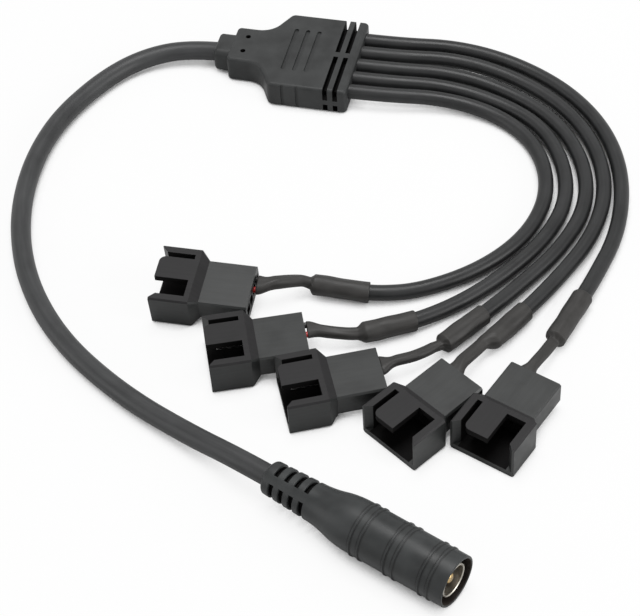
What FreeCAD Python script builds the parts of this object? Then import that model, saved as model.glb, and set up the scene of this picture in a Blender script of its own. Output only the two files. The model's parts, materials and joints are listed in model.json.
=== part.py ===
import FreeCAD, Part
import math
import os
import Sketcher

# Fan splitter cable: DC socket, feed cable, flat splitter hub and five branches with fan plugs.
# Lengths are in millimetres. The origin is the middle of the hub's base, X runs from the feed
# cable to the branches and Z is up. The cable lies on the plane z = 0.

Vector = FreeCAD.Vector
doc = FreeCAD.newDocument("fan_splitter_cable")
sheet = doc.addObject("Spreadsheet::Sheet", "sizes")
across_x = Vector(1, 0, 0)
up_z = Vector(0, 0, 1)


class Term:
    # a length with its number and the sheet formula behind it
    def __init__(self, value, text):
        self.value = value
        self.text = text

    def join(self, sign, other, value, swap=False):
        right = other.text if isinstance(other, Term) else repr(float(other))
        pair = (right, sign, self.text) if swap else (self.text, sign, right)
        return Term(value, "(%s %s %s)" % pair)

    def __add__(self, other):
        return self.join("+", other, self.value + number(other))

    def __radd__(self, other):
        return self.join("+", other, self.value + number(other), True)

    def __sub__(self, other):
        return self.join("-", other, self.value - number(other))

    def __rsub__(self, other):
        return self.join("-", other, number(other) - self.value, True)

    def __mul__(self, other):
        return self.join("*", other, self.value * number(other))

    def __rmul__(self, other):
        return self.join("*", other, self.value * number(other), True)

    def __truediv__(self, other):
        return self.join("/", other, self.value / number(other))

    def __neg__(self):
        return Term(-self.value, "(0 - %s)" % self.text)


def number(term):
    return term.value if isinstance(term, Term) else float(term)


def formula(term):
    return term.text if isinstance(term, Term) else repr(float(term))


rows = []


def size(name, value):
    # one row of the sheet: the name in column A, the number in column B
    rows.append(name)
    cell = len(rows)
    sheet.set("A%d" % cell, name)
    sheet.set("B%d" % cell, repr(float(value)))
    sheet.setAlias("B%d" % cell, name)
    return Term(float(value), "sizes." + name)


# Splitter hub
hub_length = size("hub_length", 29.6)
hub_width = size("hub_width", 25.0)
hub_height = size("hub_height", 6.4)
hub_neck = size("hub_neck", 11.6)
hub_shoulder = size("hub_shoulder", 12.35)
shoulder_in = size("shoulder_in", 5.0)
shoulder_out = size("shoulder_out", 1.5)
hub_corner = size("hub_corner", 1.0)
hub_edge = size("hub_edge", 0.8)
collar_length = size("collar_length", 3.6)
collar_width = size("collar_width", 7.6)
collar_height = size("collar_height", 6.0)
collar_round = size("collar_round", 1.6)
collar_grip = size("collar_grip", 4.0)
branch_level = size("branch_level", 3.8)
branch_pitch = size("branch_pitch", 4.45)
socket_depth = size("socket_depth", 1.8)
grip_first = size("grip_first", 13.75)
grip_pitch = size("grip_pitch", 2.68)
grip_width = size("grip_width", 1.0)
grip_length = size("grip_length", 14.4)
grip_depth = size("grip_depth", 0.4)
side_first = size("side_first", 14.8)
side_pitch = size("side_pitch", 3.4)
side_width = size("side_width", 0.7)
side_depth = size("side_depth", 0.25)
dimple_reach = size("dimple_reach", 3.25)
dimple_spread = size("dimple_spread", 5.0)
dimple_dia = size("dimple_dia", 1.2)
dimple_depth = size("dimple_depth", 0.8)
flex_last = size("flex_last", 2.55)
flex_pitch = size("flex_pitch", 2.3)
flex_width = size("flex_width", 1.1)
flex_depth = size("flex_depth", 1.8)
flex_bridge = size("flex_bridge", 1.6)
flex_foot = size("flex_foot", 0.45)
flex_low = size("flex_low", 2.1)
flex_high = size("flex_high", 3.4)

# Cables and cores
main_dia = size("main_dia", 4.3)
branch_dia = size("branch_dia", 3.3)
core_dia = size("core_dia", 1.25)
core_pitch = size("core_pitch", 2.54)
cable_fit = size("cable_fit", 0.08)
core_fit = size("core_fit", 0.06)
feed_lead = size("feed_lead", 10.5)
jack_lead = size("jack_lead", 7.5)
branch_lead = size("branch_lead", 7.2)
lay_length = size("lay_length", 119.3)

# Heat-shrink sleeves
sleeve_dia = size("sleeve_dia", 4.3)
sleeve_fit = size("sleeve_fit", 0.15)
sleeve_past = size("sleeve_past", 1.2)
sleeve_close = size("sleeve_close", 1.1)
sleeve_neck = size("sleeve_neck", 2.5)
flare_length = size("flare_length", 3.0)
flare_width = size("flare_width", 4.7)
flare_height = size("flare_height", 2.0)
core_hold = size("core_hold", 0.8)
sleeve_length_1 = size("sleeve_length_1", 11.4)
sleeve_length_2 = size("sleeve_length_2", 10.5)
sleeve_length_3 = size("sleeve_length_3", 11.3)
sleeve_length_4 = size("sleeve_length_4", 10.3)
sleeve_length_5 = size("sleeve_length_5", 13.0)
core_show_1 = size("core_show_1", 0.7)
core_show_2 = size("core_show_2", 0.6)
core_show_rest = size("core_show_rest", 0.3)

# DC socket
jack_length = size("jack_length", 42.0)
jack_dia = size("jack_dia", 10.4)
relief_dia = size("relief_dia", 6.8)
relief_front = size("relief_front", 7.6)
relief_length = size("relief_length", 9.8)
relief_edge = size("relief_edge", 0.7)
relief_first = size("relief_first", 2.45)
relief_pitch = size("relief_pitch", 2.35)
relief_slot = size("relief_slot", 0.8)
relief_lip = size("relief_lip", 0.45)
relief_depth = size("relief_depth", 1.0)
relief_grip = size("relief_grip", 2.6)
taper_end = size("taper_end", 20.6)
bead_first = size("bead_first", 21.5)
bead_gap = size("bead_gap", 1.9)
bead_pitch = size("bead_pitch", 7.55)
bead_width = size("bead_width", 0.55)
bead_height = size("bead_height", 0.2)
mouth_dia = size("mouth_dia", 9.4)
mouth_depth = size("mouth_depth", 12.0)
mouth_edge = size("mouth_edge", 0.2)
base_height = size("base_height", 3.0)
base_fit = size("base_fit", 0.05)
ring_outer = size("ring_outer", 6.9)
ring_inner = size("ring_inner", 6.1)
ring_seat = size("ring_seat", 1.5)
ring_inset = size("ring_inset", 0.6)
post_dia = size("post_dia", 2.1)
post_root = size("post_root", 2.6)
post_rise = size("post_rise", 0.3)
post_inset = size("post_inset", 1.2)
post_round = size("post_round", 0.5)

# Fan plug housing
plug_length = size("plug_length", 20.0)
plug_width = size("plug_width", 14.1)
plug_height = size("plug_height", 7.9)
shroud_length = size("shroud_length", 8.3)
step_length = size("step_length", 1.7)
block_width = size("block_width", 11.25)
block_low = size("block_low", 1.4)
block_high = size("block_high", 6.4)
plug_bevel = size("plug_bevel", 0.35)
hollow_width = size("hollow_width", 10.7)
hollow_low = size("hollow_low", 1.3)
hollow_high = size("hollow_high", 6.5)
hollow_depth = size("hollow_depth", 8.6)
gate_length = size("gate_length", 7.2)
tongue_left = size("tongue_left", 4.2)
tongue_right = size("tongue_right", 1.2)
tongue_round = size("tongue_round", 1.4)
lip_wall = size("lip_wall", 0.5)
pin_level = size("pin_level", 3.9)
pin_wall = size("pin_wall", 1.0)
chamber_width = size("chamber_width", 2.0)
chamber_height = size("chamber_height", 2.2)
pin_side = size("pin_side", 0.64)
pin_fit = size("pin_fit", 0.08)
pin_tip = size("pin_tip", 2.0)
pin_bevel = size("pin_bevel", 0.18)
body_width = size("body_width", 1.6)
body_height = size("body_height", 1.7)
body_length = size("body_length", 3.4)
crimp_dia = size("crimp_dia", 1.8)
crimp_length = size("crimp_length", 3.8)
latch_width = size("latch_width", 1.1)
latch_length = size("latch_length", 2.2)
doc.recompute()


# Building blocks shared by the pieces

def bind(item, name, term):
    item.setExpression(name, formula(term))


def new_body(label):
    body = doc.addObject("PartDesign::Body", label)
    body.Label = label
    return body


def origin_part(body, role):
    return [o for o in body.Origin.OriginFeatures if o.Role == role][0]


def new_sketch(body, name, plane, offset=None):
    # a sketch on one of the body's own planes, moved along the plane's normal
    item = body.newObject("Sketcher::SketchObject", name)
    item.AttachmentSupport = [(origin_part(body, plane), "")]
    item.MapMode = "FlatFace"
    if offset is not None:
        bind(item, "AttachmentOffset.Base.z", offset)
    return item


def place(sketch, geo, end, axis, term):
    # holds one coordinate of a sketch point: axis 0 is sideways and axis 1 is upright
    if not isinstance(term, Term) and number(term) == 0.0:
        sketch.addConstraint(Sketcher.Constraint("PointOnObject", geo, end, -2 + axis))
        return
    kind = "DistanceX" if axis == 0 else "DistanceY"
    index = sketch.addConstraint(Sketcher.Constraint(kind, -1, 1, geo, end, number(term)))
    sketch.setExpression("Constraints[%d]" % index, formula(term))


def outline(sketch, points, arcs=None):
    # a closed outline; arcs gives radius and turn, -1 clockwise, for the edge that starts at a point
    arcs = arcs or {}
    ends = []
    half_rounds = []
    count = len(points)
    for step in range(count):
        here = Vector(number(points[step][0]), number(points[step][1]), 0)
        there = points[(step + 1) % count]
        there = Vector(number(there[0]), number(there[1]), 0)
        if step in arcs:
            radius = abs(number(arcs[step][0]))
            turn = arcs[step][1]
            chord = there - here
            side = Vector(-chord.y, chord.x, 0)
            side.normalize()
            drop = math.sqrt(max(radius ** 2 - (chord.Length / 2) ** 2, 0.0))
            if drop < 1e-4:
                half_rounds.append(step)
            centre = (here + there) * 0.5 + side * (drop * turn)
            first, last = (here, there) if turn > 0 else (there, here)
            begin = math.atan2(first.y - centre.y, first.x - centre.x)
            finish = math.atan2(last.y - centre.y, last.x - centre.x)
            if finish < begin:
                finish += 2 * math.pi
            ring = Part.Circle(centre, up_z, radius)
            geo = sketch.addGeometry(Part.ArcOfCircle(ring, begin, finish))
            ends.append((geo, 1, 2) if turn > 0 else (geo, 2, 1))
        else:
            geo = sketch.addGeometry(Part.LineSegment(here, there))
            ends.append((geo, 1, 2))
    for step in range(count):
        geo, end = ends[step - 1][0], ends[step - 1][2]
        sketch.addConstraint(Sketcher.Constraint("Coincident", geo, end, ends[step][0], ends[step][1]))
    for step in range(count):
        for axis in (0, 1):
            place(sketch, ends[step][0], ends[step][1], axis, points[step][axis])
    for step in arcs:
        if step in half_rounds:
            place(sketch, ends[step][0], 3, 1, points[step][1])
            continue
        term = arcs[step][0]
        index = sketch.addConstraint(Sketcher.Constraint("Radius", ends[step][0], number(term)))
        sketch.setExpression("Constraints[%d]" % index, formula(term))


def rectangle(sketch, left, right, low, high):
    outline(sketch, [(left, low), (right, low), (right, high), (left, high)])


def bevelled(sketch, side, low, high, bevel):
    # a rectangle centred sideways, with its corners cut off
    outline(sketch, [
        (bevel - side, low),
        (side - bevel, low),
        (side, low + bevel),
        (side, high - bevel),
        (side - bevel, high),
        (bevel - side, high),
        (-side, high - bevel),
        (-side, low + bevel),
    ])


def circle(sketch, side, up, dia):
    geo = sketch.addGeometry(Part.Circle(Vector(number(side), number(up), 0), up_z, number(dia) / 2))
    place(sketch, geo, 3, 0, side)
    place(sketch, geo, 3, 1, up)
    index = sketch.addConstraint(Sketcher.Constraint("Diameter", geo, number(dia)))
    sketch.setExpression("Constraints[%d]" % index, formula(dia))


def extrude(body, kind, name, profile, length, back=False, both=False):
    # a pad runs along the sketch's normal and a pocket against it, unless back turns it round
    item = body.newObject("PartDesign::" + kind, name)
    item.Profile = profile
    bind(item, "Length", length)
    item.Reversed = back
    if both:
        item.SideType = "Symmetric"
    profile.Visibility = False
    return item


def turned(body, kind, name, profile, angle=360.0, both=False):
    item = body.newObject("PartDesign::" + kind, name)
    item.Profile = profile
    item.ReferenceAxis = (origin_part(body, "X_Axis"), [""])
    item.Angle = angle
    item.Midplane = both
    return item


def repeat(body, name, features, role, span, count):
    # the features again along an axis, span being the way from the first to the last
    item = body.newObject("PartDesign::LinearPattern", name)
    item.Originals = features
    item.Direction = (origin_part(body, role), [""])
    bind(item, "Length", span)
    item.Occurrences = count
    body.Tip = item
    return item


def edges_where(feature, test):
    return ["Edge%d" % (n + 1) for n, e in enumerate(feature.Shape.Edges) if test(e)]


def dress(body, kind, name, test, term):
    # a fillet or chamfer on the edges of the body's newest feature that pass the test
    doc.recompute()
    feature = body.Tip
    names = edges_where(feature, test)
    if not names:
        raise RuntimeError("no edges for " + name)
    item = body.newObject("PartDesign::" + kind, name)
    item.Base = (feature, names)
    bind(item, "Radius" if kind == "Fillet" else "Size", term)
    return item


def near(value, term):
    return abs(value - number(term)) < 1e-4


def level_at(edge, axis, term):
    # true when the whole edge lies at one value of x, y or z
    return all(near(getattr(p, axis), term) for p in edge.discretize(3))


def along(edge, axis):
    if not isinstance(edge.Curve, (Part.Line, Part.LineSegment)):
        return False
    way = edge.tangentAt(edge.FirstParameter)
    return abs(abs(getattr(way, axis)) - 1.0) < 1e-6


nodes = []


def keep(item, label, placement=None):
    item.Label = label
    if placement is not None:
        item.Placement = placement
    nodes.append((label, item))


# Splitter hub: a flat plate with S-shaped shoulders, a collar for the feed cable and flexing slots
hub = new_body("splitter_hub")
hub_half = hub_length / 2
hub_side = hub_width / 2
neck_side = hub_neck / 2
slope = math.radians(62)
shoulder_end = hub_shoulder - hub_half
crest_x = shoulder_end - shoulder_out * math.sin(slope)
crest_y = hub_side - shoulder_out * (1 - math.cos(slope))
root_y = neck_side + shoulder_in * (1 - math.cos(slope))
root_x = crest_x - (crest_y - root_y) / math.tan(slope)
shoulder_start = root_x - shoulder_in * math.sin(slope)

plate = new_sketch(hub, "hub_outline", "XY_Plane")
outline(plate, [
    (-hub_half, -neck_side),
    (shoulder_start, -neck_side),
    (root_x, -root_y),
    (crest_x, -crest_y),
    (shoulder_end, -hub_side),
    (hub_half, -hub_side),
    (hub_half, hub_side),
    (shoulder_end, hub_side),
    (crest_x, crest_y),
    (root_x, root_y),
    (shoulder_start, neck_side),
    (-hub_half, neck_side),
], {1: (shoulder_in, -1), 3: (shoulder_out, 1), 7: (shoulder_out, 1), 9: (shoulder_in, -1)})
extrude(hub, "Pad", "hub_plate", plate, hub_height)


def hub_upright(edge):
    return along(edge, "z") and near(abs(edge.Vertexes[0].Point.x), hub_half)


def hub_rim(edge):
    return level_at(edge, "z", 0) or level_at(edge, "z", hub_height)


dress(hub, "Fillet", "hub_corners", hub_upright, hub_corner)
dress(hub, "Fillet", "hub_rims", hub_rim, hub_edge)

collar = new_sketch(hub, "collar_outline", "YZ_Plane", -hub_half - collar_length)
collar_low = (hub_height - collar_height) / 2
collar_top = collar_low + collar_height
rectangle(collar, -collar_width / 2, collar_width / 2, collar_low, collar_top)
extrude(hub, "Pad", "collar", collar, collar_length + hub_edge * 2)


def collar_long(edge):
    if not along(edge, "x"):
        return False
    spot = edge.Vertexes[0].Point
    return near(abs(spot.y), collar_width / 2) and (near(spot.z, collar_low) or near(spot.z, collar_top))


dress(hub, "Fillet", "collar_corners", collar_long, collar_round)
dress(hub, "Fillet", "collar_mouth", lambda e: level_at(e, "x", -hub_half - collar_length), hub_edge)

feed = new_sketch(hub, "feed_bore_outline", "YZ_Plane", -hub_half - collar_length)
circle(feed, 0, hub_height / 2, main_dia + cable_fit * 2)
extrude(hub, "Pocket", "feed_bore", feed, collar_grip, back=True)

socket = new_sketch(hub, "branch_socket_outline", "YZ_Plane", hub_half)
circle(socket, branch_pitch * -2, branch_level, branch_dia + cable_fit * 2)
sockets = extrude(hub, "Pocket", "branch_socket", socket, socket_depth)
repeat(hub, "branch_sockets", [sockets], "Y_Axis", branch_pitch * 4, 5)

grip_left = grip_first - hub_half - grip_width / 2
grip_right = grip_left + grip_width
grip_end = (grip_length - grip_width) / 2
grip = new_sketch(hub, "grip_outline", "XY_Plane", hub_height)
outline(grip, [
    (grip_left, -grip_end),
    (grip_right, -grip_end),
    (grip_right, grip_end),
    (grip_left, grip_end),
], {0: (grip_width / 2, 1), 2: (grip_width / 2, 1)})
grips = extrude(hub, "Pocket", "grip_groove", grip, grip_depth)
repeat(hub, "grip_grooves", [grips], "X_Axis", grip_pitch * 2, 3)

side_left = side_first - hub_half - side_width / 2
side_right = side_left + side_width
rib = new_sketch(hub, "side_groove_outline", "XY_Plane", hub_height + 1)
rectangle(rib, side_left, side_right, -hub_side - 1, side_depth - hub_side)
rectangle(rib, side_left, side_right, hub_side - side_depth, hub_side + 1)
ribs = extrude(hub, "Pocket", "side_groove", rib, hub_height + 2)
repeat(hub, "side_grooves", [ribs], "X_Axis", side_pitch, 2)

dimple = new_sketch(hub, "dimple_outline", "XY_Plane", hub_height)
circle(dimple, dimple_reach - hub_half, -dimple_spread / 2, dimple_dia)
circle(dimple, dimple_reach - hub_half, dimple_spread / 2, dimple_dia)
extrude(hub, "Pocket", "dimples", dimple, dimple_depth)

flex_in = hub_side - flex_depth
flex_top = hub_height - flex_depth
flex = new_sketch(hub, "flex_slot_outline", "YZ_Plane", hub_half - flex_last - flex_pitch)
outline(flex, [
    (flex_bridge / 2, flex_top),
    (flex_in, flex_top),
    (flex_in, flex_high),
    (hub_side + 1, flex_high),
    (hub_side + 1, hub_height + 1),
    (flex_bridge / 2, hub_height + 1),
])
outline(flex, [
    (-flex_bridge / 2, flex_top),
    (-flex_bridge / 2, hub_height + 1),
    (-hub_side - 1, hub_height + 1),
    (-hub_side - 1, flex_high),
    (-flex_in, flex_high),
    (-flex_in, flex_top),
])
rectangle(flex, flex_in, hub_side + 1, flex_foot, flex_low)
rectangle(flex, -hub_side - 1, -flex_in, flex_foot, flex_low)
slots = extrude(hub, "Pocket", "flex_slot", flex, flex_width, both=True)
repeat(hub, "flex_slots", [slots], "X_Axis", flex_pitch, 2)
keep(hub, "splitter_hub")


# DC socket: barrel with a slotted strain relief, an insulating base, a contact ring and a post
# the plan of the lay is drawn with the socket this far in front of the hub
lay_step = number(lay_length) / 119.3
jack_yaw = -23.0
jack_roll = 35.6
jack_way = Vector(math.cos(math.radians(jack_yaw)), math.sin(math.radians(jack_yaw)), 0)
jack_axis = jack_dia / 2 + bead_height
jack_back = Vector(24.75, -119.3, 0) * lay_step + up_z * number(jack_axis)
jack_turn = FreeCAD.Rotation(up_z, jack_yaw).multiply(FreeCAD.Rotation(across_x, jack_roll))
jack_pose = FreeCAD.Placement(jack_back, jack_turn)

jack = new_body("jack_overmould")
relief_r = relief_dia / 2
front_r = relief_front / 2
jack_r = jack_dia / 2
half_run = (taper_end - relief_length) / 2
half_rise = (jack_r - front_r) / 2
sweep_r = (half_run * half_run + half_rise * half_rise) / (half_rise * 2)
shell = new_sketch(jack, "barrel_outline", "XY_Plane")
outline(shell, [
    (0, 0),
    (jack_length, 0),
    (jack_length, jack_r),
    (taper_end, jack_r),
    (relief_length + half_run, front_r + half_rise),
    (relief_length, front_r),
    (0, relief_r),
], {3: (sweep_r, 1), 4: (sweep_r, -1)})
turned(jack, "Revolution", "barrel", shell)

bead = new_sketch(jack, "bead_outline", "XY_Plane")
for start in (bead_first, bead_first + bead_gap):
    outline(bead, [
        (start, jack_r - bead_height),
        (start + bead_width, jack_r - bead_height),
        (start + bead_width, jack_r),
        (start + bead_width * 0.75, jack_r + bead_height),
        (start + bead_width * 0.25, jack_r + bead_height),
        (start, jack_r),
    ])
beads = turned(jack, "Revolution", "bead_pair", bead)
repeat(jack, "bead_pairs", [beads], "X_Axis", bead_pitch * 2, 3)

mouth = new_sketch(jack, "mouth_outline", "YZ_Plane", jack_length)
circle(mouth, 0, 0, mouth_dia)
extrude(jack, "Pocket", "mouth", mouth, mouth_depth)
dress(jack, "Fillet", "mouth_rim", lambda e: level_at(e, "x", jack_length), mouth_edge)
dress(jack, "Fillet", "relief_rim", lambda e: level_at(e, "x", 0), relief_edge)

entry = new_sketch(jack, "entry_outline", "YZ_Plane")
circle(entry, 0, 0, main_dia + cable_fit * 2)
extrude(jack, "Pocket", "entry", entry, relief_grip, back=True)

notch = new_sketch(jack, "relief_slot_outline", "XY_Plane")
for index in range(4):
    middle = relief_first + relief_pitch * index
    skin = relief_r + (front_r - relief_r) * (middle / relief_length)
    left = middle - relief_slot / 2
    right = middle + relief_slot / 2
    outline(notch, [
        (left, skin - relief_depth),
        (right, skin - relief_depth),
        (right, skin - relief_lip),
        (right + relief_lip, skin + relief_lip * 0.25),
        (right + relief_lip, skin + 1),
        (left - relief_lip, skin + 1),
        (left - relief_lip, skin + relief_lip * 0.25),
        (left, skin - relief_lip),
    ], {2: (relief_lip * 1.28125, -1), 6: (relief_lip * 1.28125, -1)})
notches = turned(jack, "Groove", "relief_slot", notch, 150.0, both=True)
turns = jack.newObject("PartDesign::PolarPattern", "relief_slots")
turns.Originals = [notches]
turns.Axis = (origin_part(jack, "X_Axis"), [""])
turns.Angle = 360.0
turns.Occurrences = 2
jack.Tip = turns
keep(jack, "jack_overmould", jack_pose)

base = new_body("jack_insulator")
base_start = jack_length - mouth_depth
base_end = base_start + base_height
disc = new_sketch(base, "base_outline", "YZ_Plane", base_start)
circle(disc, 0, 0, mouth_dia - base_fit * 2)
extrude(base, "Pad", "base_disc", disc, base_height)
well = new_sketch(base, "base_well_outline", "YZ_Plane", base_end)
circle(well, 0, 0, ring_outer + base_fit * 2)
circle(well, 0, 0, ring_inner - base_fit * 2)
extrude(base, "Pocket", "base_well", well, ring_seat)
hole = new_sketch(base, "base_hole_outline", "YZ_Plane", base_end)
circle(hole, 0, 0, post_root + base_fit * 2)
extrude(base, "Pocket", "base_hole", hole, base_height + 1)
keep(base, "jack_insulator", jack_pose)

ring = new_body("jack_sleeve_contact")
ring_start = base_end - ring_seat
wall = new_sketch(ring, "ring_outline", "YZ_Plane", ring_start)
circle(wall, 0, 0, ring_outer)
circle(wall, 0, 0, ring_inner)
extrude(ring, "Pad", "ring_wall", wall, jack_length - ring_inset - ring_start)
dress(ring, "Chamfer", "ring_lip", lambda e: level_at(e, "x", jack_length - ring_inset), base_fit * 3)
keep(ring, "jack_sleeve_contact", jack_pose)

post = new_body("jack_centre_pin")
root = new_sketch(post, "root_outline", "YZ_Plane", base_start)
circle(root, 0, 0, post_root)
extrude(post, "Pad", "post_foot", root, base_height + post_rise)
rod = new_sketch(post, "post_outline", "YZ_Plane", base_end)
circle(rod, 0, 0, post_dia)
extrude(post, "Pad", "post_rod", rod, mouth_depth - base_height - post_inset)
dress(post, "Fillet", "post_tip", lambda e: level_at(e, "x", jack_length - post_inset), post_round)
keep(post, "jack_centre_pin", jack_pose)


# Cables: straight runs joined by arcs that touch both runs
def tube(label, points, dia):
    lines = []
    start = points[0]
    bends = []
    for before, corner, after in zip(points, points[1:], points[2:]):
        back = before - corner
        ahead = after - corner
        reach = 0.45 * min(back.Length, ahead.Length)
        back.normalize()
        ahead.normalize()
        half_turn = (math.pi - back.getAngle(ahead)) / 2
        bend = reach / math.tan(half_turn)
        inward = back + ahead
        inward.normalize()
        first = corner + back * reach
        last = corner + ahead * reach
        middle = corner + inward * (bend / math.cos(half_turn) - bend)
        lines.append(Part.LineSegment(start, first).toShape())
        lines.append(Part.Arc(first, middle, last).toShape())
        start = last
        bends.append(bend)
    lines.append(Part.LineSegment(start, points[-1]).toShape())
    path = doc.addObject("Part::Feature", label + "_path")
    path.Shape = Part.Wire(lines)
    hoop = doc.addObject("Part::Circle", label + "_hoop")
    bind(hoop, "Radius", dia / 2)
    hoop.Placement = FreeCAD.Placement(points[0], FreeCAD.Rotation(up_z, points[1] - points[0]))
    item = doc.addObject("Part::Sweep", label)
    item.Sections = [hoop]
    item.Spine = (path, ["Edge%d" % (n + 1) for n in range(len(lines))])
    item.Solid = True
    doc.recompute()
    print(label, "length %.1f" % path.Shape.Length, "bends", " ".join("%.0f" % b for b in bends))
    section = math.pi * (number(dia) / 2) ** 2
    if abs(item.Shape.Volume / (section * path.Shape.Length) - 1) > 0.01:
        raise RuntimeError("tube volume of " + label)
    keep(item, label)


def resting(route, dia):
    # plan points, in steps of the lay, at the height of a cable that lies on the table plus a lift
    step = lay_step
    return [Vector(x * step, y * step, number(dia) / 2 + (lift + 0.05) * step) for x, y, lift in route]


# Feed cable, from the hub's collar round to the DC socket
main_route = [
    (-35.8, -5.1, 0.3),
    (-43.0, -14.8, 0.0),
    (-48.4, -29.0, 0.0),
    (-49.3, -44.5, 0.0),
    (-46.2, -61.0, 0.0),
    (-38.6, -77.5, 0.0),
    (-26.3, -92.0, 0.0),
    (-9.5, -103.3, 0.0),
    (6.5, -110.9, 0.9),
]
feed_start = Vector(number(collar_grip - collar_length - hub_half), 0, number(hub_height / 2))
feed_end = jack_back + jack_way * number(relief_grip)
main_points = [feed_start, feed_start - across_x * number(feed_lead)]
main_points += resting(main_route, main_dia)
main_points += [jack_back - jack_way * number(jack_lead), feed_end]
tube("main_cable", main_points, main_dia)

# Branch cables, the first from the hub's near edge
branch_routes = [
    [
        (35.5, -6.3, 1.1),
        (47.3, -7.9, 0.0),
        (56.2, -14.0, 0.0),
        (61.6, -23.0, 0.0),
        (63.4, -34.0, 0.0),
        (60.4, -46.0, 0.0),
        (52.6, -56.6, 0.0),
        (42.0, -64.2, 0.0),
        (33.5, -67.05, 0.45),
        (27.0, -67.2, 0.7),
        (22.0, -67.3, 0.9),
    ],
    [
        (35.5, -2.2, 1.1),
        (48.5, -4.5, 0.0),
        (58.6, -10.4, 0.0),
        (65.2, -20.8, 0.0),
        (67.8, -33.0, 0.0),
        (64.8, -45.5, 0.0),
        (58.0, -57.2, 0.0),
        (50.6, -66.2, 0.0),
        (43.76, -72.35, 0.5),
        (39.2, -75.05, 0.7),
        (34.9, -77.6, 0.9),
    ],
    [
        (36.5, 2.3, 1.1),
        (50.0, -0.6, 0.0),
        (61.6, -8.0, 0.0),
        (69.3, -19.5, 0.0),
        (72.2, -33.0, 0.0),
        (68.6, -47.0, 0.0),
        (61.6, -59.5, 0.0),
        (55.9, -68.9, 0.5),
        (50.6, -77.0, 0.9),
    ],
    [
        (37.0, 7.3, 1.1),
        (51.0, 4.2, 0.0),
        (62.8, -3.4, 0.0),
        (71.2, -14.2, 0.0),
        (75.6, -28.0, 0.0),
        (74.5, -42.5, 0.0),
        (69.0, -56.0, 0.0),
        (64.1, -66.2, 0.5),
        (59.9, -74.0, 0.9),
    ],
    [
        (37.0, 11.6, 1.1),
        (52.0, 8.6, 0.0),
        (64.8, 0.4, 0.0),
        (73.8, -11.0, 0.0),
        (78.6, -24.5, 0.0),
        (79.6, -40.0, 0.0),
        (76.5, -54.6, 0.25),
        (73.9, -63.8, 0.65),
        (71.7, -71.4, 0.9),
    ],
]

# Where each fan plug lies: front corner of its middle line, heading and roll in degrees
plug_poses = [
    (-10.51, -74.37, 1.7, 5.6),
    (4.4, -90.95, 22.1, 0.0),
    (21.65, -98.25, 25.0, 0.0),
    (44.3, -104.85, 56.6, 0.0),
    (62.15, -104.05, 68.7, 0.0),
]


def plug_placement(index):
    x, y, yaw, roll = plug_poses[index]
    turn = FreeCAD.Rotation(up_z, yaw).multiply(FreeCAD.Rotation(across_x, roll))
    lean = math.radians(abs(roll))
    lift = (number(plug_width) / 2 - number(plug_bevel)) * math.sin(lean)
    return FreeCAD.Placement(Vector(x, y, 0) * lay_step + up_z * lift, turn)


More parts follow.
